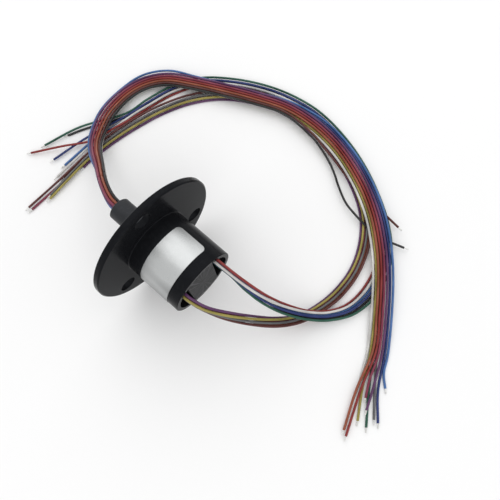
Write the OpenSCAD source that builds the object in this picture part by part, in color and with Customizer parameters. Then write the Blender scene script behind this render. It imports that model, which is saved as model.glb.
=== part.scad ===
// Flanged capsule slip ring: twelve circuits, a moulded case with three
// mounting holes, a turning tube at the front and loose leads at both ends.
// Millimetres. +X runs along the spin axis from the tube to the end cap and
// +Z is up. The origin is the centre of the flange's seat, where the barrel starts.

/* [Flange] */
// outside diameter of the flange
flange_d = 44.5; // [40:0.1:50]
// thickness of the flange
flange_t = 2; // [1.6:0.1:3]
// bevel round the flange's barrel side
flange_bevel = 0.4; // [0.1:0.1:0.6]
// diameter of each mounting hole
hole_d = 5.4; // [4:0.1:6]
// distance from the flange's rim to the middle of each mounting hole
hole_edge = 4.75; // [4:0.25:5]

/* [Barrel] */
// outside diameter of the barrel
barrel_d = 22; // [21.6:0.1:24]
// length of the barrel behind the flange
barrel_len = 19.4; // [19.2:0.1:24]
// thickness of the barrel's wall
wall = 1.4; // [1.2:0.1:1.6]
// depth of the bearing seat's bulkhead behind the flange face
bulkhead = 2.5; // [2.3:0.1:3]

/* [Rotor tube] */
// outside diameter of the turning tube
tube_d = 7.5; // [7:0.1:7.8]
// how far the tube stands out in front of the flange
tube_reach = 14.1; // [8:0.1:18]
// bore of the tube, where the leads come out
tube_bore = 5.2; // [5:0.1:5.4]
// how deep the potting sits inside the tube's mouth
mouth_depth = 1.5; // [1:0.1:3]

/* [Contact rings] */
// outside diameter of a contact ring
ring_d = 10; // [9.6:0.1:10.2]
// width of the insulating wall between two rings
ring_gap = 0.4; // [0.3:0.01:0.41]
// room between the last insulating wall and the rear bearing
stack_clear = 0.7; // [0.6:0.05:0.8]
// how far the insulating walls stand above the rings
ring_guard = 0.6; // [0.4:0.1:0.8]

/* [Brush boards] */
// gap between a brush board's corners and the barrel's bore
board_clear = 0.3; // [0.2:0.05:0.4]
// thickness of a brush board
board_t = 0.8; // [0.6:0.1:1]
// half the height of a brush board
board_half = 4.4; // [4.2:0.1:4.6]

/* [Bearings] */
// bore of the front bearing
front_bore = 8; // [8:0.1:8.1]
// outside diameter of the front bearing
front_od = 12; // [12:0.1:12.1]
// width of the front bearing
front_w = 3.5; // [3.4:0.1:3.6]
// bore of the rear bearing
rear_bore = 5; // [4.9:0.1:5]
// outside diameter of the rear bearing
rear_od = 8; // [8:0.1:8.1]
// width of the rear bearing
rear_w = 2; // [1.9:0.1:2]

/* [End cap] */
// thickness of the end cap's plate
cap_t = 2; // [1.6:0.1:2]
// half the width of the plate between its two lead slots
cap_half = 4.9; // [4.7:0.1:5]

/* [Label] */
// width of the label along the barrel
label_w = 10.5; // [8:0.1:11]
// distance from the flange's seat to the label
label_from = 5; // [3:0.1:6]
// thickness of the label foil
label_t = 0.12; // [0.1:0.01:0.2]
// angle where the label starts, counted from +Y towards +Z
label_start = 52; // [45:1:60]
// angle where the label ends
label_end = 232; // [200:1:250]
// radius of the label's corners
label_corner = 1.5; // [1:0.1:2]

/* [Leads] */
// outside diameter of a lead
lead_d = 0.8; // [0.7:0.01:0.8]
// diameter of a tinned lead end
tip_d = 0.5; // [0.3:0.05:0.6]
// length of a tinned lead end
tip_len = 1.6; // [1:0.1:6]

/* [Fits] */
// gap between a ball and its groove
ball_fit = 0.02; // [0.01:0.01:0.04]
// gap between a cage and the race that carries it
cage_fit = 0.07; // [0.05:0.01:0.09]
// gap between a brush wire and its contact ring
brush_fit = 0.02; // [0.01:0.01:0.05]
// gap between the flange's throat and the turning tube
throat_gap = 0.45; // [0.4:0.05:0.6]
// end gap between standing and turning parts
end_gap = 0.2; // [0.15:0.05:0.25]

/* [Hidden] */
$fn = 96;
e = 0.5;
flange_r = flange_d / 2;
hole_pcd = flange_d - 2 * hole_edge;
barrel_r = barrel_d / 2;
bore_r = barrel_r - wall;
tube_r = tube_d / 2;
front_x0 = bulkhead - front_w;
front_x1 = bulkhead;
washer_t = 0.4;
stack_x = front_x1 + washer_t;
rings = 12;
core_r = 3.2;
cap_x0 = barrel_len - cap_t;
rear_x1 = cap_x0;
rear_x0 = rear_x1 - rear_w;
stack_end = rear_x0 - stack_clear;
pitch = (stack_end - stack_x - ring_gap) / rings;
ring_w = pitch - ring_gap;
guard_r = ring_d / 2 + ring_guard;
brush_r = 0.1;
brush_reach = ring_d / 2 + brush_fit + brush_r;
board_y = sqrt(pow(bore_r - board_clear, 2) - board_half * board_half) - board_t;
board_x1 = rear_x0 + 0.2;
exit_x = barrel_len - 2.4;
front_pitch_r = (front_bore + front_od) / 4;
front_ball_r = 0.6;
rear_pitch_r = (rear_bore + rear_od) / 4;
rear_ball_r = 0.45;

black_case = [0.07, 0.07, 0.08];
steel = [0.72, 0.73, 0.75];
gold = [0.85, 0.67, 0.28];

// Each row of a route is x, y, z, turn of the bundle, spread and gathering.
rotor_route = [
  [-flange_t - tube_reach + mouth_depth - 0.25, 0, 0, 0, 1, 1],
  [-20, 0.4, -0.1, 0, 1, 1],
  [-27.5, 3, -3.5, 0, 1, 1],
  [-36, 7, -9, 0, 1, 0.8],
  [-44.5, 11, -14.6, 0, 1, 0.5],
  [-51, 16.3, -18.6, 0, 1.06, 0.2],
  [-54.8, 25, -19, 0, 1.03, 0],
  [-56.2, 35, -20.2, 0, 1, 0],
  [-54, 43.5, -20.4, 0, 1, 0],
  [-48.2, 50, -19.6, 0, 1, 0],
  [-39.5, 55.2, -19.6, 0, 1, 0],
  [-29, 60.4, -19.6, 0, 1, 0],
  [-17.6, 65.5, -19.6, 0, 1, 0],
  [-5.6, 69.7, -19.6, 0, 1, 0],
  [7, 70.6, -19.6, 0, 1, 0],
  [19.3, 68.4, -19, 0, 1, 0],
  [31.6, 63.6, -18.7, 0, 1, 0],
  [42.2, 57.2, -18.6, 0, 1, 0],
  [51, 49.4, -18.7, 0, 1, 0],
  [58, 41.3, -19, 0, 1, 0],
  [65, 31.5, -19.8, 0, 1, 0],
  [71.5, 21.5, -21.2, 0, 1, 0]
];
right_route = [
  [exit_x + 0.15, 6.5, 4.2, 90, 1, 0],
  [20.6, 6.6, 4.2, 90, 1, 0],
  [25.5, 6.9, 3.4, 90, 1, 0],
  [30.8, 7.4, 0.2, 68, 1, 0],
  [36.2, 8.8, -5.2, 45, 1, 0],
  [42, 11.4, -10.8, 22, 1.1, 0],
  [48.2, 15.4, -16, 0, 1.2, 0],
  [53.5, 20.6, -19.8, 0, 1.3, 0],
  [57.6, 27.8, -21.2, 0, 1.6, 0],
  [58.4, 37.8, -21.35, 0, 1.9, 0],
  [55.1, 48.3, -21.4, 0, 1.8, 0],
  [47.6, 57.1, -21.4, 0, 1.6, 0],
  [37, 64.6, -21.4, 0, 1.5, 0],
  [26, 70.2, -21.4, 0, 1.4, 0],
  [14, 74, -21.4, 0, 1.3, 0],
  [2, 75.6, -21.4, 0, 1.2, 0],
  [-10, 74, -21.4, 0, 1.2, 0],
  [-20.7, 70.3, -21.4, 0, 1.2, 0],
  [-30.6, 64.8, -21.4, 0, 1.2, 0],
  [-39, 58, -21.4, 0, 1.2, 0],
  [-44.5, 49, -21.4, 0, 1.2, 0],
  [-47.5, 39, -21.4, 0, 1.2, 0],
  [-49.8, 29, -21.4, 0, 1.1, 0]
];
left_route = [
  [exit_x + 0.15, -6.5, 4.2, 90, 1, 0],
  [20.6, -6.6, 4.1, 90, 1, 0],
  [25.5, -5.4, 2.2, 90, 1, 0],
  [31, -2.4, -2.6, 65, 1, 0],
  [36.6, 1.8, -8.6, 35, 1, 0],
  [42, 6.8, -14.6, 10, 1.1, 0],
  [46.4, 12.7, -18.8, 0, 1.1, 0],
  [49.2, 19.7, -21, 0, 1.1, 0],
  [50.9, 28.4, -21.35, 0, 1.2, 0],
  [50.3, 38.4, -21.4, 0, 1.2, 0],
  [46.7, 48.2, -21.4, 0, 1.3, 0],
  [40.1, 56.9, -21.4, 0, 1.3, 0],
  [30.4, 63.5, -21.4, 0, 1.3, 0],
  [19, 68.2, -21.4, 0, 1.3, 0],
  [6.5, 70.4, -21.4, 0, 1.3, 0],
  [-6.2, 69.8, -21.4, 0, 1.3, 0],
  [-18.2, 65.8, -21.4, 0, 1.3, 0],
  [-28.6, 59.4, -21.4, 0, 1.3, 0],
  [-36.6, 50.4, -21.4, 0, 1.3, 0],
  [-42, 40, -21.4, 0, 1.3, 0],
  [-45.4, 29.4, -21.4, 0, 1.3, 0],
  [-47.7, 18.5, -21.4, 0, 1.2, 0],
  [-48.7, 8, -21.4, 0, 1, 0]
];

function unit3(v) = v / norm(v);
function heading(r, k) = let (n = len(r) - 1, a = r[max(k - 1, 0)], b = r[min(k + 1, n)])
  unit3([b[0] - a[0], b[1] - a[1], b[2] - a[2]]);
function side(t) = unit3([-t[1], t[0], 0]);
// One lead's own points: lane across the bundle, layer -1 below or 1 above,
// and row, the half of its layer that it gathers into at the tube's mouth.
// bow is a list of [first point, last point, how far it bows outwards].
function bowed(k, bow, i = 0) = i >= len(bow) ? 0
  : ((k >= bow[i][0] && k <= bow[i][1]) ? bow[i][2] : 0) + bowed(k, bow, i + 1);
function lane(r, a, layer, row, k0, k1, bow = []) = [
  for (k = [k0:k1])
    let (
      s = r[k], t = heading(r, k), n = side(t), b = cross(t, n), g = s[5],
      al = a * s[4] * (1 - 0.5 * g) + bowed(k, bow),
      be = layer * (0.9 + 0.82 * g) / 2 + row * 0.43 * g
    )
    [s[0], s[1], s[2]] + al * (cos(s[3]) * n + sin(s[3]) * b) + be * (-sin(s[3]) * n + cos(s[3]) * b)
];
// A smooth curve through the points of w, cut into steps.
function curve_at(w, u) = let (
    m = len(w) - 1, k = min(floor(u), m - 1), t = u - k,
    p1 = w[k], p2 = w[k + 1],
    p0 = k > 0 ? w[k - 1] : 2 * w[0] - w[1],
    p3 = k < m - 1 ? w[k + 2] : 2 * w[m] - w[m - 1]
  )
  0.5 * (
    2 * p1 + (p2 - p0) * t + (2 * p0 - 5 * p1 + 4 * p2 - p3) * t * t + (3 * p1 - p0 - 3 * p2 + p3) * t * t * t
  );
function curve(w, steps) = [for (j = [0:steps]) curve_at(w, j * (len(w) - 1) / steps)];
steps = 48;
sides = 8;

module lead(w) {
  c = curve(w, steps);
  points = [
    for (j = [0:steps])
      let (
        t = unit3(c[min(j + 1, steps)] - c[max(j - 1, 0)]), n = side(t), b = cross(t, n)
      )
      for (i = [0:sides - 1])
        c[j] + lead_d / 2 * (cos(i * 360 / sides) * n + sin(i * 360 / sides) * b)
  ];
  faces = concat(
    [[for (i = [0:sides - 1]) i]],
    [
      for (j = [0:steps - 1], i = [0:sides - 1])
        [j * sides + i, (j + 1) * sides + i, (j + 1) * sides + (i + 1) % sides, j * sides + (i + 1) % sides]
    ],
    [[for (i = [0:sides - 1]) steps * sides + sides - 1 - i]]
  );
  polyhedron(points = points, faces = faces);
}

module tip(w) {
  c = curve(w, steps);
  t = unit3(c[steps] - c[steps - 1]);
  translate(c[steps])
    rotate([0, acos(t[2]), atan2(t[1], t[0])])
      cylinder(d = tip_d, h = tip_len, $fn = 24);
}

module along_x(x0, x1, r) {
  translate([x0, 0, 0])
    rotate([0, 90, 0])
      cylinder(r = r, h = x1 - x0);
}

module tube_x(x0, x1, ro, ri) {
  difference() {
    along_x(x0, x1, ro);
    along_x(x0 - e, x1 + e, ri);
  }
}

// A half profile of [x, r] points turned round the spin axis.
module turned(p) {
  rotate([0, 90, 0])
    rotate([0, 0, 180])
      rotate_extrude()
        polygon([for (q = p) [q[1], q[0]]]);
}

module housing() {
  color(black_case)
    difference() {
      turned([
        [-flange_t, tube_r + throat_gap], [-flange_t, flange_r - 0.2], [-flange_t + 0.2, flange_r],
        [-flange_bevel, flange_r], [0, flange_r - flange_bevel], [0, barrel_r + 0.2], [0.2, barrel_r],
        [barrel_len - 0.2, barrel_r], [barrel_len, barrel_r - 0.2], [barrel_len, bore_r],
        [bulkhead, bore_r], [bulkhead, front_od / 2], [front_x0, front_od / 2], [front_x0, tube_r + throat_gap]
      ]);
      for (a = [90, 210, 330])
        rotate([a, 0, 0])
          translate([-flange_t - e, hole_pcd / 2, 0])
            rotate([0, 90, 0])
              cylinder(d = hole_d, h = flange_t + 2 * e);
    }
}

module corner_cut(a, s, x, sx) {
  // what rounds off one corner of the label
  rotate([a, 0, 0])
    translate([x, barrel_r + 1, 0])
      rotate([90, 0, 0])
        linear_extrude(height = 2)
          mirror([sx < 0 ? 1 : 0, 0])
            mirror([0, s < 0 ? 1 : 0])
              difference() {
                translate([-1, -1])
                  square(label_corner + 1);
                translate([label_corner, label_corner])
                  circle(r = label_corner, $fn = 48);
              }
}

module label() {
  color([0.86, 0.87, 0.88])
    difference() {
      rotate([label_start, 0, 0])
        translate([label_from, 0, 0])
          rotate([90, 0, 90])
            rotate_extrude(angle = label_end - label_start)
              translate([barrel_r, 0])
                square([label_t, label_w]);
      corner_cut(label_start, 1, label_from, 1);
      corner_cut(label_start, 1, label_from + label_w, -1);
      corner_cut(label_end, -1, label_from, 1);
      corner_cut(label_end, -1, label_from + label_w, -1);
    }
}

module end_cap() {
  color([0.11, 0.11, 0.12])
    difference() {
      union() {
        along_x(cap_x0, barrel_len, bore_r);
        along_x(rear_x0, cap_x0, rear_od / 2 + 1.2);
      }
      along_x(rear_x0 - e, rear_x1, rear_od / 2);
      along_x(rear_x1 - e, rear_x1 + 0.2, rear_od / 2 - 0.4);
      for (s = [-1, 1])
        translate([rear_x0 - e, s > 0 ? cap_half : -cap_half - 8, -12])
          cube([barrel_len - rear_x0 + 2 * e, 8, 24]);
    }
}

module race(x0, x1, ro, ri, pitch_r, ball_r) {
  difference() {
    tube_x(x0, x1, ro, ri);
    translate([(x0 + x1) / 2, 0, 0])
      rotate([0, 90, 0])
        rotate_extrude()
          translate([pitch_r, 0])
            circle(r = ball_r + ball_fit, $fn = 48);
  }
}

module balls(x, count, pitch_r, ball_r, fn) {
  for (i = [0:count - 1])
    rotate([i * 360 / count, 0, 0])
      translate([x, pitch_r, 0])
        sphere(r = ball_r, $fn = fn);
}

module cage(x, half, ri, ro, count, ball_r) {
  difference() {
    tube_x(x - half, x + half, ro, ri);
    for (i = [0:count - 1])
      rotate([i * 360 / count, 0, 0])
        translate([x, ri - e, 0])
          rotate([-90, 0, 0])
            cylinder(r = ball_r + 2 * ball_fit, h = ro - ri + 2 * e, $fn = 48);
  }
}

module front_outer_race() {
  color(steel)
    race(front_x0, front_x1, front_od / 2, front_pitch_r + 0.38, front_pitch_r, front_ball_r);
}

module front_inner_race() {
  color(steel)
    race(front_x0, front_x1, front_pitch_r - 0.38, front_bore / 2, front_pitch_r, front_ball_r);
}

module front_balls() {
  color(steel)
    balls((front_x0 + front_x1) / 2, 9, front_pitch_r, front_ball_r, 32);
}

module front_cage() {
  color(gold)
    cage(
      (front_x0 + front_x1) / 2, 0.9, front_pitch_r - 0.38 + cage_fit, front_pitch_r + 0.05, 9, front_ball_r
    );
}

module rear_outer_race() {
  color(steel)
    race(rear_x0, rear_x1, rear_od / 2, rear_pitch_r + 0.3, rear_pitch_r, rear_ball_r);
}

module rear_inner_race() {
  color(steel)
    race(rear_x0, rear_x1 - 0.1, rear_pitch_r - 0.27, rear_bore / 2, rear_pitch_r, rear_ball_r);
}

module rear_balls() {
  color(steel)
    balls((rear_x0 + rear_x1) / 2, 8, rear_pitch_r, rear_ball_r, 32);
}

module rear_cage() {
  color(gold)
    cage(
      (rear_x0 + rear_x1) / 2, 0.7, rear_pitch_r - 0.27 + cage_fit, rear_pitch_r, 8, rear_ball_r
    );
}

module rotor_tube() {
  color(black_case)
    turned([
      [-flange_t - tube_reach, tube_bore / 2], [-flange_t - tube_reach, tube_r - 0.3],
      [-flange_t - tube_reach + 0.3, tube_r], [front_x0 - end_gap, tube_r], [front_x0 - end_gap, front_bore / 2],
      [stack_x, front_bore / 2], [stack_x, tube_bore / 2]
    ]);
}

module thrust_washer() {
  color(steel)
    tube_x(front_x1, stack_x, front_bore / 2 + 1, front_bore / 2);
}

module rotor_core() {
  color([0.35, 0.3, 0.22])
    difference() {
      union() {
        along_x(stack_x, rear_x0 - end_gap, core_r);
        for (k = [0:rings])
          along_x(stack_x + k * pitch, stack_x + k * pitch + ring_gap, guard_r);
        along_x(rear_x0 - end_gap - 0.1, rear_x1 - end_gap, rear_bore / 2);
      }
      along_x(stack_x - e, stack_end, 1.6);
    }
}

module contact_ring(k) {
  x = stack_x + ring_gap + (k - 1) * pitch;
  color(gold)
    tube_x(x, x + ring_w, ring_d / 2, core_r);
}

module potting() {
  color([0.12, 0.12, 0.13])
    along_x(-flange_t - tube_reach + mouth_depth, -flange_t - tube_reach + 8, tube_bore / 2);
}

module brush_board(s) {
  color([0.1, 0.35, 0.2])
    translate([bulkhead, s > 0 ? board_y : -board_y - board_t, -board_half])
      cube([board_x1 - bulkhead, board_t, 2 * board_half]);
}

// Twelve springy wires, each from the board to the flank of its own ring.
module brush_wires(s) {
  root = [board_y, 3.6];
  phi = atan2(root[1], root[0]) + acos(brush_reach / norm(root));
  v = brush_reach * [cos(phi), sin(phi)] - root;
  u = v / norm(v);
  color(gold)
    rotate([s > 0 ? 0 : 180, 0, 0])
      for (k = [1:rings])
        translate([
          stack_x + ring_gap + (k - 1) * pitch + ring_w / 2, root[0] + 0.03 * u[0], root[1] + 0.03 * u[1]
        ])
          rotate([atan2(-u[0], u[1]), 0, 0])
            cylinder(r = brush_r, h = norm(v) + 0.8, $fn = 24);
}

module lead_anchor(s) {
  color([0.75, 0.72, 0.62])
    intersection() {
      translate([board_x1, s > 0 ? 5.2 : -7.7, 2])
        cube([exit_x - board_x1, 2.5, 4.4]);
      along_x(board_x1 - e, exit_x + e, bore_r - 0.15);
    }
}

// Each lead's own points: its lane in the bundle, then its own loose end.
rotor_light_blue_path = concat(
  lane(rotor_route, 2.75, -1, -1, 0, 21, [[4, 10, 0.5], [8, 9, 0.9], [13, 21, 0.7], [14, 21, 0.9]]),
  [[77.9, 18, -21.8], [81.2, 14.4, -21.85]]
);
rotor_blue_path = concat(
  lane(rotor_route, 1.75, -1, 1, 0, 21, [[13, 21, 0.7], [14, 21, 0.9]]),
  [[79.8, 12.5, -21.8], [85.8, 4.6, -21.85]]
);
rotor_grey_path = concat(
  lane(rotor_route, 0.75, -1, -1, 0, 21),
  [[78.6, 12.4, -21.8], [84.2, 4.6, -21.85]]
);
rotor_green_path = concat(
  lane(rotor_route, -0.25, -1, 1, 0, 21),
  [[78, 10, -21.8], [83.8, 1.2, -21.85]]
);
rotor_yellow_path = concat(
  lane(rotor_route, -1.25, -1, -1, 0, 21),
  [[75.8, 9.6, -21.8], [80.6, 1, -21.85]]
);
rotor_white_path = concat(
  lane(rotor_route, -2.25, -1, 1, 0, 21),
  [[73, 12.4, -21.8], [75, 7.6, -21.85]]
);
rotor_violet_path = concat(
  lane(rotor_route, 2.25, 1, -1, 0, 21),
  [[77.8, 12.6, -20.9], [80.6, 5.2, -20.95]]
);
rotor_pink_path = concat(
  lane(rotor_route, 1.25, 1, 1, 0, 21),
  [[75.6, 13.4, -20.9], [78.2, 8, -21.4]]
);
rotor_red_path = concat(
  lane(rotor_route, 0.25, 1, -1, 0, 21),
  [[75.4, 9, -20.9], [80.6, -5, -21.4]]
);
rotor_orange_path = concat(
  lane(rotor_route, -0.75, 1, 1, 0, 21),
  [[74.4, 8, -20.9], [79, -4, -21.4]]
);
rotor_brown_path = concat(
  lane(rotor_route, -1.75, 1, -1, 0, 13),
  [
    [6.8, 67.7, -19.2], [14, 66.3, -19.9], [20.4, 64.8, -20.05], [27, 62.9, -20.05],
    [35, 61.4, -20.05], [44.1, 60.4, -20.05], [52.2, 59.5, -20.05]
  ]
);
rotor_black_path = concat(
  lane(rotor_route, -2.75, 1, 1, 0, 13),
  [
    [7.4, 66.6, -19.4], [13.6, 65.3, -20], [19, 63.3, -20.4], [23.4, 60.9, -20.6], [27, 58.4, -20.6],
    [32.5, 55.2, -20.4], [37, 53.8, -20.1], [44, 52.7, -20.05], [51.5, 53.1, -20.05], [58, 55, -20.3]
  ]
);
stator_red_path = concat(
  lane(right_route, 1.25, -1, 0, 0, 20),
  [
    [-46.2, 38.6, -21.78], [-48, 29.3, -21.2], [-49.4, 22.6, -20.25], [-52.1, 13.5, -20.3],
    [-58.6, 4.9, -20.2], [-66.2, -4.4, -21.4]
  ]
);
stator_light_blue_path = concat(
  lane(right_route, 0.25, -1, 0, 0, 22),
  [[-52.6, 14.6, -21.85], [-53.4, 0.4, -21.85]]
);
stator_black_path = concat(
  lane(right_route, -0.75, -1, 0, 0, 22),
  [[-58.2, 16, -21.85], [-61.4, 9.4, -21.85]]
);
stator_white_path = concat(
  lane(right_route, 0.75, 1, 0, 0, 22),
  [[-51.5, 12.6, -21.25], [-51.8, -4.5, -21.4]]
);
stator_blue_path = concat(
  lane(right_route, -0.25, 1, 0, 0, 22),
  [[-54.8, 13.2, -20.95], [-57.8, -0.8, -21.4]]
);
stator_green_path = concat(
  lane(right_route, -1.25, 1, 0, 0, 22),
  [[-59.8, 14.8, -20.95], [-64.6, 1, -21.4]]
);
stator_violet_path = concat(
  lane(left_route, 1.25, -1, 0, 0, 22),
  [[-47.5, 4.2, -21.85]]
);
stator_pink_path = concat(
  lane(left_route, 0.25, -1, 0, 0, 22),
  [[-48.9, -3, -21.85], [-49.6, -19, -21.85]]
);
stator_orange_path = concat(
  lane(left_route, -0.75, -1, 0, 0, 22),
  [[-49.8, 2, -21.85], [-50.2, -3.2, -21.85]]
);
stator_yellow_path = concat(
  lane(left_route, 0.75, 1, 0, 0, 22),
  [[-47.7, -3, -20.95], [-47.5, -12, -21.4]]
);
stator_grey_path = concat(
  lane(left_route, -0.25, 1, 0, 0, 22),
  [[-48.7, -3, -20.95], [-48.4, -11, -21.4]]
);
stator_brown_path = concat(
  lane(left_route, -1.25, 1, 0, 0, 22),
  [[-50, -4, -20.95], [-50.8, -19.2, -21.4]]
);

module contact_ring_01() {
  contact_ring(1);
}

module contact_ring_02() {
  contact_ring(2);
}

module contact_ring_03() {
  contact_ring(3);
}

module contact_ring_04() {
  contact_ring(4);
}

module contact_ring_05() {
  contact_ring(5);
}

module contact_ring_06() {
  contact_ring(6);
}

module contact_ring_07() {
  contact_ring(7);
}

module contact_ring_08() {
  contact_ring(8);
}

module contact_ring_09() {
  contact_ring(9);
}

module contact_ring_10() {
  contact_ring(10);
}

module contact_ring_11() {
  contact_ring(11);
}

module contact_ring_12() {
  contact_ring(12);
}

module brush_board_right() {
  brush_board(1);
}

module brush_board_left() {
  brush_board(-1);
}

module brush_wires_right() {
  brush_wires(1);
}

module brush_wires_left() {
  brush_wires(-1);
}

module lead_anchor_right() {
  lead_anchor(1);
}

module lead_anchor_left() {
  lead_anchor(-1);
}

module rotor_lead_light_blue() {
  color([0.3, 0.62, 0.85])
    lead(rotor_light_blue_path);
}

module rotor_lead_blue() {
  color([0.1, 0.2, 0.6])
    lead(rotor_blue_path);
}

module rotor_lead_grey() {
  color([0.5, 0.5, 0.52])
    lead(rotor_grey_path);
}

module rotor_lead_green() {
  color([0.1, 0.45, 0.25])
    lead(rotor_green_path);
}

module rotor_lead_yellow() {
  color([0.85, 0.75, 0.15])
    lead(rotor_yellow_path);
}

module rotor_lead_white() {
  color([0.9, 0.9, 0.88])
    lead(rotor_white_path);
}

module rotor_lead_violet() {
  color([0.42, 0.18, 0.5])
    lead(rotor_violet_path);
}

module rotor_lead_pink() {
  color([0.68, 0.22, 0.36])
    lead(rotor_pink_path);
}

module rotor_lead_red() {
  color([0.72, 0.1, 0.1])
    lead(rotor_red_path);
}

module rotor_lead_orange() {
  color([0.88, 0.42, 0.15])
    lead(rotor_orange_path);
}

module rotor_lead_brown() {
  color([0.36, 0.18, 0.1])
    lead(rotor_brown_path);
}

module rotor_lead_black() {
  color([0.05, 0.05, 0.05])
    lead(rotor_black_path);
}

module stator_lead_orange() {
  color([0.88, 0.42, 0.15])
    lead(stator_orange_path);
}

module stator_lead_violet() {
  color([0.42, 0.18, 0.5])
    lead(stator_violet_path);
}

module stator_lead_blue() {
  color([0.1, 0.2, 0.6])
    lead(stator_blue_path);
}

module stator_lead_red() {
  color([0.72, 0.1, 0.1])
    lead(stator_red_path);
}

module stator_lead_green() {
  color([0.1, 0.45, 0.25])
    lead(stator_green_path);
}

module stator_lead_light_blue() {
  color([0.3, 0.62, 0.85])
    lead(stator_light_blue_path);
}

module stator_lead_white() {
  color([0.9, 0.9, 0.88])
    lead(stator_white_path);
}

module stator_lead_black() {
  color([0.05, 0.05, 0.05])
    lead(stator_black_path);
}

module stator_lead_pink() {
  color([0.68, 0.22, 0.36])
    lead(stator_pink_path);
}

module stator_lead_yellow() {
  color([0.85, 0.75, 0.15])
    lead(stator_yellow_path);
}

module stator_lead_grey() {
  color([0.5, 0.5, 0.52])
    lead(stator_grey_path);
}

module stator_lead_brown() {
  color([0.36, 0.18, 0.1])
    lead(stator_brown_path);
}

module rotor_lead_tips() {
  color(steel) {
    tip(rotor_light_blue_path);
    tip(rotor_blue_path);
    tip(rotor_grey_path);
    tip(rotor_green_path);
    tip(rotor_yellow_path);
    tip(rotor_white_path);
    tip(rotor_violet_path);
    tip(rotor_pink_path);
    tip(rotor_red_path);
    tip(rotor_orange_path);
    tip(rotor_brown_path);
    tip(rotor_black_path);
  }
}

module stator_lead_tips() {
  color(steel) {
    tip(stator_orange_path);
    tip(stator_violet_path);
    tip(stator_blue_path);
    tip(stator_red_path);
    tip(stator_green_path);
    tip(stator_light_blue_path);
    tip(stator_white_path);
    tip(stator_black_path);
    tip(stator_pink_path);
    tip(stator_yellow_path);
    tip(stator_grey_path);
    tip(stator_brown_path);
  }
}

housing();
label();
end_cap();
front_outer_race();
front_inner_race();
front_balls();
front_cage();
rear_outer_race();
rear_inner_race();
rear_balls();
rear_cage();
rotor_tube();
thrust_washer();
rotor_core();
potting();
contact_ring_01();
contact_ring_02();
contact_ring_03();
contact_ring_04();
contact_ring_05();
contact_ring_06();
contact_ring_07();
contact_ring_08();
contact_ring_09();
contact_ring_10();
contact_ring_11();
contact_ring_12();
brush_board_right();
brush_board_left();
brush_wires_right();
brush_wires_left();
lead_anchor_right();
lead_anchor_left();
rotor_lead_light_blue();
rotor_lead_blue();
rotor_lead_grey();
rotor_lead_green();
rotor_lead_yellow();
rotor_lead_white();
rotor_lead_violet();
rotor_lead_pink();
rotor_lead_red();
rotor_lead_orange();
rotor_lead_brown();
rotor_lead_black();
stator_lead_orange();
stator_lead_violet();
stator_lead_blue();
stator_lead_red();
stator_lead_green();
stator_lead_light_blue();
stator_lead_white();
stator_lead_black();
stator_lead_pink();
stator_lead_yellow();
stator_lead_grey();
stator_lead_brown();
rotor_lead_tips();
stator_lead_tips();
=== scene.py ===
import bpy
import bmesh
import math
from mathutils import Matrix, Vector


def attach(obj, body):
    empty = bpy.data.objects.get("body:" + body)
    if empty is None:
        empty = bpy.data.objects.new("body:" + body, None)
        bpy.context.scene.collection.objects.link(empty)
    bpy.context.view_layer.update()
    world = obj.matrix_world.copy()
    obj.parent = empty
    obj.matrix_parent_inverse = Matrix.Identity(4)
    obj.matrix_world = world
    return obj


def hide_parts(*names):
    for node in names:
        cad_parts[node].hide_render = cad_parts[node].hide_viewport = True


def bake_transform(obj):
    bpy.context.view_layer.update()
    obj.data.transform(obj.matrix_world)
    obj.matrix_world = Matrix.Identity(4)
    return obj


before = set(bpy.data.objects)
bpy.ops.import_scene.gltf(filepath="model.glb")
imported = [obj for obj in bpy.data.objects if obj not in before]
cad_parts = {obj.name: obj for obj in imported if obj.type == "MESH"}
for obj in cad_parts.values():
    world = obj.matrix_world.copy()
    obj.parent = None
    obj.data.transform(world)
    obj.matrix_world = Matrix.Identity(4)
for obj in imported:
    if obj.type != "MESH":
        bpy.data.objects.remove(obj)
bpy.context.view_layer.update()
MM = 0.001

# Sizes are in millimetres, and pieces are made in metres.
TABLE_Z = -22.25
TABLE_HALF = 1500
TABLE_GAP = 0.02  # the table stays this far under what rests on it

# the leads
LEAD_D = 0.8
SIDES = 14  # faces round a lead
STEPS = 190  # rings along a lead
ROOT = 0.9  # how deep a lead's near end goes into the resin
CUT_EDGE = 0.06  # how much a cut end of insulation is rounded off, across the lead
CUT_LIP = 0.07  # and along it
TWIST_CUT = -29.0  # where the mouth stretch ends and each lead's own piece starts

# how the leads lie in a bundle
LAYERS_APART = 0.9  # lying flat in two layers
GATHERED_APART = 0.82  # what a gathered bundle adds to that
GATHERED_ROW = 0.43  # how far its leads go up or down out of their layer
GATHERED_IN = 0.5  # how much narrower it gets

# the bare ends
TIP_LEN = 1.6
STRAND_R = 0.08
LAY_R = 0.16  # from the middle strand to those wound round it
LAY_TURNS = 0.45
STRANDS_SUNK = 0.05  # how deep they start inside the lead's end
STRANDS_SHORT = 0.01  # how far they stay behind the tip

# the camera and the lights
CAMERA_AT = (51.1, -10.91, 139.76)
CAMERA_TURN = (45.76, 74.40, -4.64)  # round, up and roll, in degrees
CAMERA_LENS = 35.15
LAMPS_AIM = (0, 30, 0)
WORLD_LIGHT = 0.8
WHITE = (1, 1, 1, 1)


# ---------------------------------------------------------------- the camera


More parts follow.
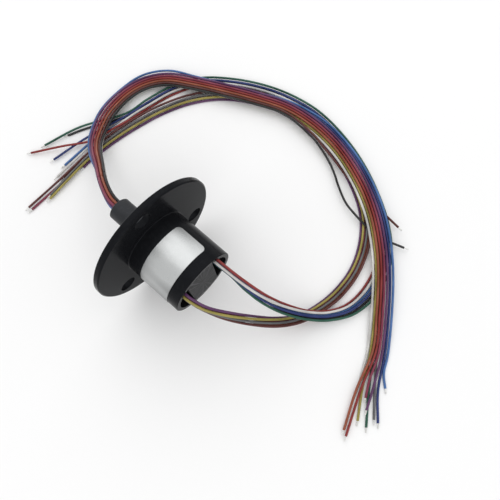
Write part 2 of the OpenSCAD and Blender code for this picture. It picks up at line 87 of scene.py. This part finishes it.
def place_camera():
    """A high three-quarter view, close enough for the near side to look larger."""
    az, el, roll = (math.radians(a) for a in CAMERA_TURN)
    back = Vector((math.sin(az) * math.cos(el), -math.cos(az) * math.cos(el), math.sin(el)))
    right = Vector((math.cos(az), math.sin(az), 0))
    up = back.cross(right)
    r2 = math.cos(roll) * right + math.sin(roll) * up
    u2 = -math.sin(roll) * right + math.cos(roll) * up
    data = bpy.data.cameras.new("view")
    data.sensor_width = 36
    data.lens = CAMERA_LENS
    data.clip_start = 0.005
    data.clip_end = 20
    cam = bpy.data.objects.new("view", data)
    bpy.context.scene.collection.objects.link(cam)
    m = Matrix((r2, u2, back)).transposed().to_4x4()
    m.translation = Vector(CAMERA_AT) * MM
    cam.matrix_world = m
    bpy.context.scene.camera = cam


place_camera()


# ---------------------------------------------------------------- the leads' routes, x, y, z, turn, spread, gathering

ROTOR_ROUTE = [
    (-14.85, 0, 0, 0, 1, 1),
    (-20, 0.4, -0.1, 0, 1, 1),
    (-27.5, 3, -3.5, 0, 1, 1),
    (-36, 7, -9, 0, 1, 0.8),
    (-44.5, 11, -14.6, 0, 1, 0.5),
    (-51, 16.3, -18.6, 0, 1.06, 0.2),
    (-54.8, 25, -19, 0, 1.03, 0),
    (-56.2, 35, -20.2, 0, 1, 0),
    (-54, 43.5, -20.4, 0, 1, 0),
    (-48.2, 50, -19.6, 0, 1, 0),
    (-39.5, 55.2, -19.6, 0, 1, 0),
    (-29, 60.4, -19.6, 0, 1, 0),
    (-17.6, 65.5, -19.6, 0, 1, 0),
    (-5.6, 69.7, -19.6, 0, 1, 0),
    (7, 70.6, -19.6, 0, 1, 0),
    (19.3, 68.4, -19, 0, 1, 0),
    (31.6, 63.6, -18.7, 0, 1, 0),
    (42.2, 57.2, -18.6, 0, 1, 0),
    (51, 49.4, -18.7, 0, 1, 0),
    (58, 41.3, -19, 0, 1, 0),
    (65, 31.5, -19.8, 0, 1, 0),
    (71.5, 21.5, -21.2, 0, 1, 0),
]
RIGHT_ROUTE = [
    (17.15, 6.5, 4.2, 90, 1, 0),
    (20.6, 6.6, 4.2, 90, 1, 0),
    (25.5, 6.9, 3.4, 90, 1, 0),
    (30.8, 7.4, 0.2, 68, 1, 0),
    (36.2, 8.8, -5.2, 45, 1, 0),
    (42, 11.4, -10.8, 22, 1.1, 0),
    (48.2, 15.4, -16, 0, 1.2, 0),
    (53.5, 20.6, -19.8, 0, 1.3, 0),
    (57.6, 27.8, -21.2, 0, 1.6, 0),
    (58.4, 37.8, -21.35, 0, 1.9, 0),
    (55.1, 48.3, -21.4, 0, 1.8, 0),
    (47.6, 57.1, -21.4, 0, 1.6, 0),
    (37, 64.6, -21.4, 0, 1.5, 0),
    (26, 70.2, -21.4, 0, 1.4, 0),
    (14, 74, -21.4, 0, 1.3, 0),
    (2, 75.6, -21.4, 0, 1.2, 0),
    (-10, 74, -21.4, 0, 1.2, 0),
    (-20.7, 70.3, -21.4, 0, 1.2, 0),
    (-30.6, 64.8, -21.4, 0, 1.2, 0),
    (-39, 58, -21.4, 0, 1.2, 0),
    (-44.5, 49, -21.4, 0, 1.2, 0),
    (-47.5, 39, -21.4, 0, 1.2, 0),
    (-49.8, 29, -21.4, 0, 1.1, 0),
]
LEFT_ROUTE = [
    (17.15, -6.5, 4.2, 90, 1, 0),
    (20.6, -6.6, 4.1, 90, 1, 0),
    (25.5, -5.4, 2.2, 90, 1, 0),
    (31, -2.4, -2.6, 65, 1, 0),
    (36.6, 1.8, -8.6, 35, 1, 0),
    (42, 6.8, -14.6, 10, 1.1, 0),
    (46.4, 12.7, -18.8, 0, 1.1, 0),
    (49.2, 19.7, -21, 0, 1.1, 0),
    (50.9, 28.4, -21.35, 0, 1.2, 0),
    (50.3, 38.4, -21.4, 0, 1.2, 0),
    (46.7, 48.2, -21.4, 0, 1.3, 0),
    (40.1, 56.9, -21.4, 0, 1.3, 0),
    (30.4, 63.5, -21.4, 0, 1.3, 0),
    (19, 68.2, -21.4, 0, 1.3, 0),
    (6.5, 70.4, -21.4, 0, 1.3, 0),
    (-6.2, 69.8, -21.4, 0, 1.3, 0),
    (-18.2, 65.8, -21.4, 0, 1.3, 0),
    (-28.6, 59.4, -21.4, 0, 1.3, 0),
    (-36.6, 50.4, -21.4, 0, 1.3, 0),
    (-42, 40, -21.4, 0, 1.3, 0),
    (-45.4, 29.4, -21.4, 0, 1.3, 0),
    (-47.7, 18.5, -21.4, 0, 1.2, 0),
    (-48.7, 8, -21.4, 0, 1, 0),
]
# colour, lane across the bundle, layer, row, last shared point, then the lead's own points
ROTOR_LEADS = [
    ("light_blue", 2.75, -1, -1, 21, [(77.9, 18, -21.8), (81.2, 14.4, -21.85)]),
    ("blue", 1.75, -1, 1, 21, [(79.8, 12.5, -21.8), (85.8, 4.6, -21.85)]),
    ("grey", 0.75, -1, -1, 21, [(78.6, 12.4, -21.8), (84.2, 4.6, -21.85)]),
    ("green", -0.25, -1, 1, 21, [(78, 10, -21.8), (83.8, 1.2, -21.85)]),
    ("yellow", -1.25, -1, -1, 21, [(75.8, 9.6, -21.8), (80.6, 1, -21.85)]),
    ("white", -2.25, -1, 1, 21, [(73, 12.4, -21.8), (75, 7.6, -21.85)]),
    ("violet", 2.25, 1, -1, 21, [(77.8, 12.6, -20.9), (80.6, 5.2, -20.95)]),
    ("pink", 1.25, 1, 1, 21, [(75.6, 13.4, -20.9), (78.2, 8, -21.4)]),
    ("red", 0.25, 1, -1, 21, [(75.4, 9, -20.9), (80.6, -5, -21.4)]),
    ("orange", -0.75, 1, 1, 21, [(74.4, 8, -20.9), (79, -4, -21.4)]),
    (
        "brown", -1.75, 1, -1, 13,
        [
            (6.8, 67.7, -19.2), (14, 66.3, -19.9), (20.4, 64.8, -20.05), (27, 62.9, -20.05),
            (35, 61.4, -20.05), (44.1, 60.4, -20.05), (52.2, 59.5, -20.05),
        ],
    ),
    (
        "black", -2.75, 1, 1, 13,
        [
            (7.4, 66.6, -19.4), (13.6, 65.3, -20), (19, 63.3, -20.4), (23.4, 60.9, -20.6), (27, 58.4, -20.6),
            (32.5, 55.2, -20.4), (37, 53.8, -20.1), (44, 52.7, -20.05), (51.5, 53.1, -20.05), (58, 55, -20.3),
        ],
    ),
]
RIGHT_LEADS = [
    (
        "red", 1.25, -1, 0, 20,
        [
            (-46.2, 38.6, -21.78), (-48, 29.3, -21.2), (-49.4, 22.6, -20.25), (-52.1, 13.5, -20.3),
            (-58.6, 4.9, -20.2), (-66.2, -4.4, -21.4),
        ],
    ),
    ("light_blue", 0.25, -1, 0, 22, [(-52.6, 14.6, -21.85), (-53.4, 0.4, -21.85)]),
    ("black", -0.75, -1, 0, 22, [(-58.2, 16, -21.85), (-61.4, 9.4, -21.85)]),
    ("white", 0.75, 1, 0, 22, [(-51.5, 12.6, -21.25), (-51.8, -4.5, -21.4)]),
    ("blue", -0.25, 1, 0, 22, [(-54.8, 13.2, -20.95), (-57.8, -0.8, -21.4)]),
    ("green", -1.25, 1, 0, 22, [(-59.8, 14.8, -20.95), (-64.6, 1, -21.4)]),
]
LEFT_LEADS = [
    ("violet", 1.25, -1, 0, 22, [(-47.5, 4.2, -21.85)]),
    ("pink", 0.25, -1, 0, 22, [(-48.9, -3, -21.85), (-49.6, -19, -21.85)]),
    ("orange", -0.75, -1, 0, 22, [(-49.8, 2, -21.85), (-50.2, -3.2, -21.85)]),
    ("yellow", 0.75, 1, 0, 22, [(-47.7, -3, -20.95), (-47.5, -12, -21.4)]),
    ("grey", -0.25, 1, 0, 22, [(-48.7, -3, -20.95), (-48.4, -11, -21.4)]),
    ("brown", -1.25, 1, 0, 22, [(-50, -4, -20.95), (-50.8, -19.2, -21.4)]),
]
# leads that bow outwards: first point, last point, how far
BOWS = {
    "rotor_lead_light_blue": ((4, 10, 0.5), (8, 9, 0.9), (13, 21, 0.7), (14, 21, 0.9)),
    "rotor_lead_blue": ((13, 21, 0.7), (14, 21, 0.9)),
}


def side_of(t):
    return Vector((-t.y, t.x, 0)).normalized()


def lane_points(route, a, layer, row, last, own, bow):
    """One lead's points: its lane in the shared route, then its own loose end."""
    out = []
    n = len(route) - 1
    for k in range(last + 1):
        t = (Vector(route[min(k + 1, n)][:3]) - Vector(route[max(k - 1, 0)][:3])).normalized()
        s = side_of(t)
        b = t.cross(s)
        turn, spread, g = math.radians(route[k][3]), route[k][4], route[k][5]
        across = a * spread * (1 - GATHERED_IN * g)
        across += sum(out_by for first, end, out_by in bow if first <= k <= end)
        up = layer * (LAYERS_APART + GATHERED_APART * g) / 2 + row * GATHERED_ROW * g
        out.append(
            Vector(route[k][:3])
            + across * (math.cos(turn) * s + math.sin(turn) * b)
            + up * (-math.sin(turn) * s + math.cos(turn) * b)
        )
    return out + [Vector(p) for p in own]


def smooth_line(points, steps):
    """A smooth curve through the points, in millimetres."""
    m = len(points) - 1
    p = [2 * points[0] - points[1]] + points + [2 * points[-1] - points[-2]]
    out = []
    for j in range(steps + 1):
        u = j * m / steps
        k = min(int(u), m - 1)
        t = u - k
        a, b, c, d = p[k : k + 4]
        out.append(
            0.5 * (2 * b + (c - a) * t + (2 * a - 5 * b + 4 * c - d) * t * t + (3 * b - a - 3 * c + d) * t ** 3)
        )
    return out


def ring_frames(line):
    """Side vectors along a line that never twist about it."""
    frames = []
    s = None
    for i in range(len(line)):
        t = (line[min(i + 1, len(line) - 1)] - line[max(i - 1, 0)]).normalized()
        if s is None:
            s = side_of(t)
        else:
            s = (s - s.dot(t) * t).normalized()
        frames.append((t, s, t.cross(s)))
    return frames


def tube_mesh(bm, line, radii, sides, matter):
    """A closed tube round the line, in metres. Its points keep how far along it they are, for its finish."""
    along = bm.verts.layers.float.get("along") or bm.verts.layers.float.new("along")
    rings = []
    run = 0.0
    for i, ((t, s, b), p) in enumerate(zip(ring_frames(line), line)):
        if i:
            run += (p - line[i - 1]).length
        ring = []
        for k in range(sides):
            w = 2 * math.pi * k / sides
            v = bm.verts.new((p + radii[i] * (math.cos(w) * s + math.sin(w) * b)) * MM)
            v[along] = run
            ring.append(v)
        rings.append(ring)
    for lo, hi in zip(rings, rings[1:]):
        for k in range(sides):
            f = bm.faces.new((lo[k], lo[(k + 1) % sides], hi[(k + 1) % sides], hi[k]))
            f.smooth = True
            f.material_index = matter
    for end in (rings[0][::-1], rings[-1]):
        bm.faces.new(end).material_index = matter


def piece(name, bm, mats):
    """A finished piece at the origin, its faces pointing outwards."""
    mesh = bpy.data.meshes.new(name)
    bmesh.ops.recalc_face_normals(bm, faces=bm.faces)
    bm.to_mesh(mesh)
    bm.free()
    for m in mats:
        mesh.materials.append(m)
    ob = bpy.data.objects.new(name, mesh)
    bpy.context.scene.collection.objects.link(ob)
    return ob


# ---------------------------------------------------------------- finishes


class Finish:
    """A material and the few node moves that every finish here is made of."""

    def __init__(self, name, colour, rough, metal=0.0):
        self.mat = bpy.data.materials.new(name)
        self.mat.use_nodes = True
        self.t = self.mat.node_tree
        self.shader = self.t.nodes["Principled BSDF"]
        self.set("Base Color", (*colour, 1))
        self.set("Roughness", rough)
        self.set("Metallic", metal)
        self.mat.diffuse_color = (*colour, 1)

    def set(self, socket, value):
        self.shader.inputs[socket].default_value = value

    def node(self, kind, **values):
        n = self.t.nodes.new(kind)
        for key, value in values.items():
            if hasattr(n, key):
                setattr(n, key, value)
            else:
                n.inputs[key.replace("_", " ")].default_value = value
        return n

    def link(self, a, b):
        self.t.links.new(a, b)

    def where(self, scale=(1, 1, 1), shift=(0, 0, 0), turn=(0, 0, 0)):
        place = self.node("ShaderNodeTexCoord")
        mapping = self.node("ShaderNodeMapping")
        mapping.inputs["Scale"].default_value = scale
        mapping.inputs["Location"].default_value = shift
        mapping.inputs["Rotation"].default_value = turn
        self.link(place.outputs["Object"], mapping.inputs["Vector"])
        return mapping.outputs[0]

    def noise(self, scale, detail=3.0, rough=0.5, vector=None):
        n = self.node("ShaderNodeTexNoise", Scale=scale, Detail=detail, Roughness=rough)
        self.link(vector if vector is not None else self.where(), n.inputs["Vector"])
        return n.outputs[0]

    def ramp(self, value, low, high, a, b):
        """value from low..high made into a..b"""
        n = self.node("ShaderNodeMapRange")
        for key, v in (("From Min", low), ("From Max", high), ("To Min", a), ("To Max", b)):
            n.inputs[key].default_value = v
        self.link(value, n.inputs["Value"])
        return n.outputs[0]

    def blend(self, factor, a, b):
        """a colour between a and b"""
        n = self.node("ShaderNodeMix")
        n.data_type = "RGBA"
        self.link(factor, n.inputs[0])
        for socket, c in ((n.inputs[6], a), (n.inputs[7], b)):
            if isinstance(c, tuple):
                socket.default_value = (*c, 1)
            else:
                self.link(c, socket)
        return n.outputs[2]

    def sum(self, a, b, kind="ADD"):
        n = self.node("ShaderNodeMath")
        n.operation = kind
        for socket, v in ((n.inputs[0], a), (n.inputs[1], b)):
            if isinstance(v, (int, float)):
                socket.default_value = v
            else:
                self.link(v, socket)
        return n.outputs[0]

    def bump(self, height, strength, distance):
        n = self.node("ShaderNodeBump")
        n.inputs["Strength"].default_value = strength
        n.inputs["Distance"].default_value = distance
        self.link(height, n.inputs["Height"])
        self.link(n.outputs[0], self.shader.inputs["Normal"])

    def colour(self, c):
        self.link(c, self.shader.inputs["Base Color"])

    def roughness(self, r):
        self.link(r, self.shader.inputs["Roughness"])


def moulded(name, colour, rough, grain, specular=0.5):
    """Injection-moulded plastic: faint flow marks, fine grain and a little handling wear."""
    f = Finish(name, colour, rough)
    f.set("Specular IOR Level", specular)
    f.set("Specular Tint", (0.88, 0.93, 1.0, 1))
    flow = f.noise(60, 2.0)
    wear = f.noise(900, 4.0, 0.6)
    light = tuple(min(1, c * 1.35 + 0.0015) for c in colour)
    f.colour(f.blend(f.ramp(wear, 0.5, 0.8, 0, 1), colour, light))
    f.roughness(f.ramp(f.sum(flow, wear), 0.7, 1.3, rough - 0.03, rough + 0.05))
    f.bump(f.sum(f.noise(4200, 3.0, 0.6), f.sum(flow, 1.5, "MULTIPLY")), grain, 0.00002)
    return f.mat


def end_face(name, colour, rough, specular):
    """The end cap: moulded plastic with fine drag lines that fan out from its middle, and a few scratches."""
    f = Finish(name, colour, rough)
    f.set("Specular IOR Level", specular)
    place = f.node("ShaderNodeTexCoord")
    parts = f.node("ShaderNodeSeparateXYZ")
    f.link(place.outputs["Object"], parts.inputs[0])
    turn = f.sum(parts.outputs["Z"], parts.outputs["Y"], "ARCTAN2")
    fan = f.node("ShaderNodeTexNoise", Scale=7.0, Detail=4.0, Roughness=0.7)
    fan.noise_dimensions = "1D"
    f.link(turn, fan.inputs["W"])
    scratch = f.noise(260, 4.0, 0.65, f.where((1, 1, 9), turn=(0.6, 0, 0)))
    light = tuple(c * 3.2 + 0.016 for c in colour)
    lines = f.ramp(fan.outputs[0], 0.5, 0.62, 0, 1)
    marks = f.ramp(scratch, 0.6, 0.75, 0, 0.6)
    f.colour(f.blend(f.sum(lines, marks, "MAXIMUM"), colour, light))
    f.roughness(f.ramp(scratch, 0.3, 0.7, rough - 0.05, rough + 0.12))
    f.bump(f.sum(fan.outputs[0], f.noise(3800, 3.0, 0.6)), 0.25, 0.00003)
    return f.mat


def silver_label(name, colour, rough):
    """Satin silver foil: brushed faintly round the barrel, with soft creases and broad darker patches that are
    painted reflection of a dark overhead.
    """
    f = Finish(name, colour, rough, 1.0)
    brushed = f.noise(1500, 3.0, 0.6, f.where((6, 1, 1)))
    crease = f.noise(170, 2.0, 0.5, f.where((1, 1, 1.6)))
    # painted reflection: broad darker patches on the foil stand in for the dark overhead that it reflects
    painted_reflection = f.noise(120, 1.5, 0.45, f.where((0.25, 1, 1), (0.4, 0.2, 0.1)))
    dark = tuple(c * 0.45 for c in colour)
    f.colour(f.blend(f.ramp(painted_reflection, 0.4, 0.6, 0, 1), colour, dark))
    f.roughness(f.ramp(brushed, 0.3, 0.7, rough - 0.05, rough + 0.08))
    f.bump(f.sum(f.sum(crease, 5.0, "MULTIPLY"), brushed), 0.16, 0.00006)
    return f.mat


def metal(name, colour, rough, streak=(1, 1, 1), scale=3000, strength=0.15):
    """Plated, ground or drawn metal with fine marks along one way."""
    f = Finish(name, colour, rough, 1.0)
    marks = f.noise(scale, 3.0, 0.6, f.where(streak))
    stain = f.noise(400, 3.0)
    dark = tuple(c * 0.82 for c in colour)
    f.colour(f.blend(f.ramp(stain, 0.35, 0.7, 0, 1), colour, dark))
    f.roughness(f.ramp(marks, 0.3, 0.7, rough - 0.06, rough + 0.1))
    f.bump(marks, strength, 0.00001)
    return f.mat


def insulation(name, colour, rough=0.36):
    """Extruded lead insulation: colour that drifts a little along the lead, a scuff here and there."""
    f = Finish(name, colour, rough)
    f.set("Specular IOR Level", 0.3)
    along = f.node("ShaderNodeAttribute")
    along.attribute_name = "along"
    drift = f.node("ShaderNodeTexNoise", Scale=0.09, Detail=2.0)
    drift.noise_dimensions = "1D"
    f.link(along.outputs["Fac"], drift.inputs["W"])
    scuff = f.noise(2600, 4.0, 0.65)
    dark = tuple(c * 0.78 for c in colour)
    pale = tuple(min(1, c * 1.12 + 0.02) for c in colour)
    f.colour(f.blend(f.ramp(drift.outputs[0], 0.3, 0.7, 0, 1), dark, pale))
    f.roughness(f.ramp(scuff, 0.35, 0.7, rough - 0.06, rough + 0.14))
    f.bump(scuff, 0.12, 0.00002)
    return f.mat


LEAD_COLOURS = {
    "light_blue": (0.050, 0.130, 0.330),
    "blue": (0.008, 0.022, 0.130),
    "grey": (0.110, 0.110, 0.115),
    "green": (0.008, 0.075, 0.045),
    "yellow": (0.290, 0.240, 0.050),
    "white": (0.560, 0.550, 0.530),
    "violet": (0.085, 0.022, 0.090),
    "pink": (0.185, 0.022, 0.052),
    "red": (0.205, 0.014, 0.012),
    "orange": (0.250, 0.060, 0.026),
    "brown": (0.085, 0.018, 0.014),
    "black": (0.005, 0.005, 0.0055),
}
lead_mats = {c: insulation("lead_" + c, v) for c, v in LEAD_COLOURS.items()}
tinned = metal("tinned_strands", (0.78, 0.78, 0.76), 0.28, (1, 1, 1), 4200, 0.3)


# ---------------------------------------------------------------- the leads


def insulated(bm, line, matter=0, sunk=0.0, cut_end=True):
    """One insulated lead. Its near end is sunk in the resin, and its cut far end is a little rounded."""
    line = list(line)
    if sunk:
        line.insert(0, line[0] + sunk * (line[0] - line[1]).normalized())
    radii = [LEAD_D / 2] * len(line)
    if cut_end:
        t = (line[-1] - line[-2]).normalized()
        line.insert(-1, line[-1] - CUT_LIP * t)
        radii = [LEAD_D / 2] * (len(line) - 1) + [LEAD_D / 2 - CUT_EDGE]
    tube_mesh(bm, line, radii, SIDES, matter)


lines = {}
for kind, route, leads in (
    ("rotor_lead_", ROTOR_ROUTE, ROTOR_LEADS),
    ("stator_lead_", RIGHT_ROUTE, RIGHT_LEADS),
    ("stator_lead_", LEFT_ROUTE, LEFT_LEADS),
):
    for colour, a, layer, row, last, own in leads:
        bow = BOWS.get(kind + colour, ())
        points = lane_points(route, a, layer, row, last, own, bow)
        lines[kind + colour] = smooth_line(points, STEPS)

# The rotor leads' first stretch, out of the tube's mouth, is made as one piece of its own, apart from the rest of
# each lead.
mouth = bmesh.new()
mouth_mats = []
for name, line in lines.items():
    colour = name.split("lead_")[1]
    still = line
    if name.startswith("rotor"):
        cut = next(i for i, p in enumerate(line) if p.x <= TWIST_CUT)
        insulated(mouth, line[: cut + 1], len(mouth_mats), ROOT, False)
        mouth_mats.append(lead_mats[colour])
        still = line[cut:]
    bm = bmesh.new()
    insulated(bm, still, 0, 0.0 if name.startswith("rotor") else ROOT)
    ob = piece(name + "_wire", bm, [lead_mats[colour]])
    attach(ob, "stator")
    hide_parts(name)
twist = piece("rotor_leads_at_mouth", mouth, mouth_mats)
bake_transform(twist)


# ---------------------------------------------------------------- the stripped, twisted and tinned ends


def strands_tree():
    """Seven strands on every point, six of them wound round the middle one, along the point's own heading."""
    tree = bpy.data.node_groups.new("twisted_strands", "GeometryNodeTree")
    face = tree.interface
    face.new_socket("Geometry", in_out="INPUT", socket_type="NodeSocketGeometry")
    for label, value in (
        ("Strand radius", STRAND_R * MM),
        ("Lay radius", LAY_R * MM),
        ("Length", TIP_LEN * MM),
        ("Turns", LAY_TURNS),
    ):
        face.new_socket(label, in_out="INPUT", socket_type="NodeSocketFloat").default_value = value
    face.new_socket("Finish", in_out="INPUT", socket_type="NodeSocketMaterial")
    face.new_socket("Geometry", in_out="OUTPUT", socket_type="NodeSocketGeometry")

    def node(kind, **sockets):
        n = tree.nodes.new(kind)
        for key, value in sockets.items():
            n.inputs[key.replace("_", " ")].default_value = value
        return n

    def link(a, out, b, into):
        tree.links.new(a.outputs[out], b.inputs[into])

    given = tree.nodes.new("NodeGroupInput")
    result = tree.nodes.new("NodeGroupOutput")
    profile = node("GeometryNodeCurvePrimitiveCircle", Resolution=7)
    link(given, "Strand radius", profile, "Radius")
    wound = node("GeometryNodeCurveSpiral", Resolution=18)
    link(given, "Turns", wound, "Rotations")
    link(given, "Lay radius", wound, "Start Radius")
    link(given, "Lay radius", wound, "End Radius")
    link(given, "Length", wound, "Height")
    outer = node("GeometryNodeCurveToMesh", Fill_Caps=True)
    link(wound, "Curve", outer, "Curve")
    link(profile, "Curve", outer, "Profile Curve")
    # six starts, equally spaced
    starts = node("GeometryNodeMeshLine", Count=6, Offset=(0, 0, 0))
    index = tree.nodes.new("GeometryNodeInputIndex")
    sixth = tree.nodes.new("ShaderNodeMath")
    sixth.operation = "MULTIPLY"
    sixth.inputs[1].default_value = math.pi / 3
    link(index, 0, sixth, 0)
    turn = tree.nodes.new("ShaderNodeCombineXYZ")
    link(sixth, 0, turn, "Z")
    six = tree.nodes.new("GeometryNodeInstanceOnPoints")
    link(starts, "Mesh", six, "Points")
    link(outer, "Mesh", six, "Instance")
    link(turn, 0, six, "Rotation")
    # the middle strand
    top = tree.nodes.new("ShaderNodeCombineXYZ")
    link(given, "Length", top, "Z")
    middle_line = tree.nodes.new("GeometryNodeCurvePrimitiveLine")
    link(top, 0, middle_line, "End")
    middle = node("GeometryNodeCurveToMesh", Fill_Caps=True)
    link(middle_line, "Curve", middle, "Curve")
    link(profile, "Curve", middle, "Profile Curve")
    one_end = tree.nodes.new("GeometryNodeJoinGeometry")
    link(six, "Instances", one_end, "Geometry")
    link(middle, "Mesh", one_end, "Geometry")
    # one bunch of strands on every lead's end
    heading = tree.nodes.new("GeometryNodeInputNamedAttribute")
    heading.data_type = "FLOAT_VECTOR"
    heading.inputs["Name"].default_value = "heading"
    aim = tree.nodes.new("FunctionNodeAlignRotationToVector")
    aim.axis = "Z"
    link(heading, "Attribute", aim, "Vector")
    ends = tree.nodes.new("GeometryNodeInstanceOnPoints")
    link(given, "Geometry", ends, "Points")
    link(one_end, "Geometry", ends, "Instance")
    link(aim, "Rotation", ends, "Rotation")
    real = tree.nodes.new("GeometryNodeRealizeInstances")
    link(ends, "Instances", real, "Geometry")
    smooth = tree.nodes.new("GeometryNodeSetShadeSmooth")
    link(real, "Geometry", smooth, "Geometry")
    matter = tree.nodes.new("GeometryNodeSetMaterial")
    link(smooth, "Geometry", matter, "Geometry")
    link(given, "Finish", matter, "Material")
    link(matter, "Geometry", result, "Geometry")
    return tree


STRANDS = strands_tree()


def grown(name, tree, points, headings, values):
    """The tree's result on the points, as a plain mesh piece at the origin."""
    seed = bpy.data.meshes.new(name + "_points")
    seed.from_pydata([tuple(p) for p in points], [], [])
    attr = seed.attributes.new("heading", "FLOAT_VECTOR", "POINT")
    for i, h in enumerate(headings):
        attr.data[i].vector = h
    holder = bpy.data.objects.new(name + "_points", seed)
    bpy.context.scene.collection.objects.link(holder)
    mod = holder.modifiers.new("grow", "NODES")
    mod.node_group = tree
    for item in tree.interface.items_tree:
        if item.in_out == "INPUT" and item.name in values:
            mod[item.identifier] = values[item.name]
    bpy.context.view_layer.update()
    mesh = bpy.data.meshes.new_from_object(holder.evaluated_get(bpy.context.evaluated_depsgraph_get()))
    mesh.name = name
    bpy.data.objects.remove(holder)
    bm = bmesh.new()
    bm.from_mesh(mesh)
    bmesh.ops.remove_doubles(bm, verts=bm.verts, dist=1e-8)
    bmesh.ops.recalc_face_normals(bm, faces=bm.faces)
    bm.to_mesh(mesh)
    bm.free()
    ob = bpy.data.objects.new(name, mesh)
    bpy.context.scene.collection.objects.link(ob)
    return ob


for kind in ("rotor_lead_", "stator_lead_"):
    spots, ways = [], []
    for name, line in lines.items():
        if name.startswith(kind):
            way = (line[-1] - line[-2]).normalized()
            spots.append((line[-1] - STRANDS_SUNK * way) * MM)
            ways.append(way)
    ends = grown(
        kind + "strands", STRANDS, spots, ways,
        {
            "Strand radius": STRAND_R * MM,
            "Lay radius": LAY_R * MM,
            "Length": (TIP_LEN + STRANDS_SUNK - STRANDS_SHORT) * MM,
            "Turns": LAY_TURNS,
            "Finish": tinned,
        },
    )
    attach(ends, "stator")
    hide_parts(kind + "tips")


# ---------------------------------------------------------------- CAD nodes' finishes

case_black = moulded("case_black", (0.0075, 0.0079, 0.0092), 0.2, 0.03, 0.045)
tube_black = moulded("tube_black", (0.025, 0.0257, 0.028), 0.42, 0.2, 0.2)
cap_black = end_face("cap_black", (0.014, 0.0145, 0.016), 0.45, 0.09)
steel = metal("bearing_steel", (0.62, 0.63, 0.65), 0.2)
brass = metal("cage_brass", (0.75, 0.55, 0.25), 0.3)
gold = metal("ring_gold", (0.86, 0.62, 0.24), 0.18)
core_brown = moulded("core_brown", (0.12, 0.08, 0.045), 0.45, 0.3)
board_green = moulded("board_green", (0.012, 0.10, 0.04), 0.3, 0.2)
resin = moulded("anchor_resin", (0.42, 0.36, 0.24), 0.22, 0.2)
potting = moulded("potting_black", (0.015, 0.015, 0.017), 0.3, 0.3)
foil = silver_label("label_foil", (0.48, 0.49, 0.49), 0.3)

NODE_FINISH = {
    "housing": case_black,
    "rotor_tube": tube_black,
    "end_cap": cap_black,
    "label": foil,
    "thrust_washer": steel,
    "rotor_core": core_brown,
    "potting": potting,
}
for name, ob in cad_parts.items():
    if name in NODE_FINISH:
        m = NODE_FINISH[name]
    elif "race" in name or "balls" in name:
        m = steel
    elif "cage" in name:
        m = brass
    elif "contact_ring" in name or "brush_wires" in name:
        m = gold
    elif "brush_board" in name:
        m = board_green
    elif "anchor" in name:
        m = resin
    else:
        continue
    for s in ob.material_slots:
        s.material = m


# ---------------------------------------------------------------- studio


def lamp(name, spot, power, size):
    """A square lamp, its place and size in millimetres."""
    data = bpy.data.lights.new(name, "AREA")
    data.energy = power
    data.size = size * MM
    ob = bpy.data.objects.new(name, data)
    bpy.context.scene.collection.objects.link(ob)
    spot = Vector(spot) * MM
    turn = (Vector(LAMPS_AIM) * MM - spot).to_track_quat("-Z", "Y")
    ob.matrix_world = Matrix.Translation(spot) @ turn.to_matrix().to_4x4()


def looked_at(tree, plain, seen):
    """One value for light that falls on things, and another for what the camera, metal and clear things see."""
    rays = tree.nodes.new("ShaderNodeLightPath")
    which = rays.outputs["Is Camera Ray"]
    for kind in ("Is Glossy Ray", "Is Transmission Ray"):
        either = tree.nodes.new("ShaderNodeMath")
        either.operation = "MAXIMUM"
        tree.links.new(which, either.inputs[0])
        tree.links.new(rays.outputs[kind], either.inputs[1])
        which = either.outputs[0]
    level = tree.nodes.new("ShaderNodeMapRange")
    level.inputs["To Min"].default_value = plain
    level.inputs["To Max"].default_value = seen
    tree.links.new(which, level.inputs["Value"])
    return level.outputs[0]


def table_white():
    """A matt white table that looks just as white far from the lamps."""
    f = Finish("table_white", (0.9, 0.9, 0.9), 0.7)
    f.set("Specular IOR Level", 0.1)
    f.set("Emission Color", WHITE)
    place = f.node("ShaderNodeTexCoord")
    away = f.node("ShaderNodeVectorMath")
    away.operation = "LENGTH"
    f.link(place.outputs["Object"], away.inputs[0])
    far = f.ramp(away.outputs["Value"], 0.15, 0.7, 0, 0.3)
    f.link(f.sum(far, looked_at(f.t, 0, 1), "MULTIPLY"), f.shader.inputs["Emission Strength"])
    return f.mat


def studio():
    bpy.context.scene.view_settings.view_transform = "Standard"
    world = bpy.data.worlds.new("studio")
    world.use_nodes = True
    bpy.context.scene.world = world
    back = world.node_tree.nodes["Background"]
    back.inputs["Color"].default_value = WHITE
    level = looked_at(world.node_tree, WORLD_LIGHT, 1.0)
    world.node_tree.links.new(level, back.inputs["Strength"])
    bm = bmesh.new()
    bmesh.ops.create_grid(bm, x_segments=1, y_segments=1, size=TABLE_HALF * MM)
    for v in bm.verts:
        v.co.z = (TABLE_Z - TABLE_GAP) * MM
    piece("table", bm, [table_white()])
    lamp("key", (-300, 280, 620), 2.4, 1000)
    lamp("fill", (500, -400, 500), 1.2, 700)


studio()
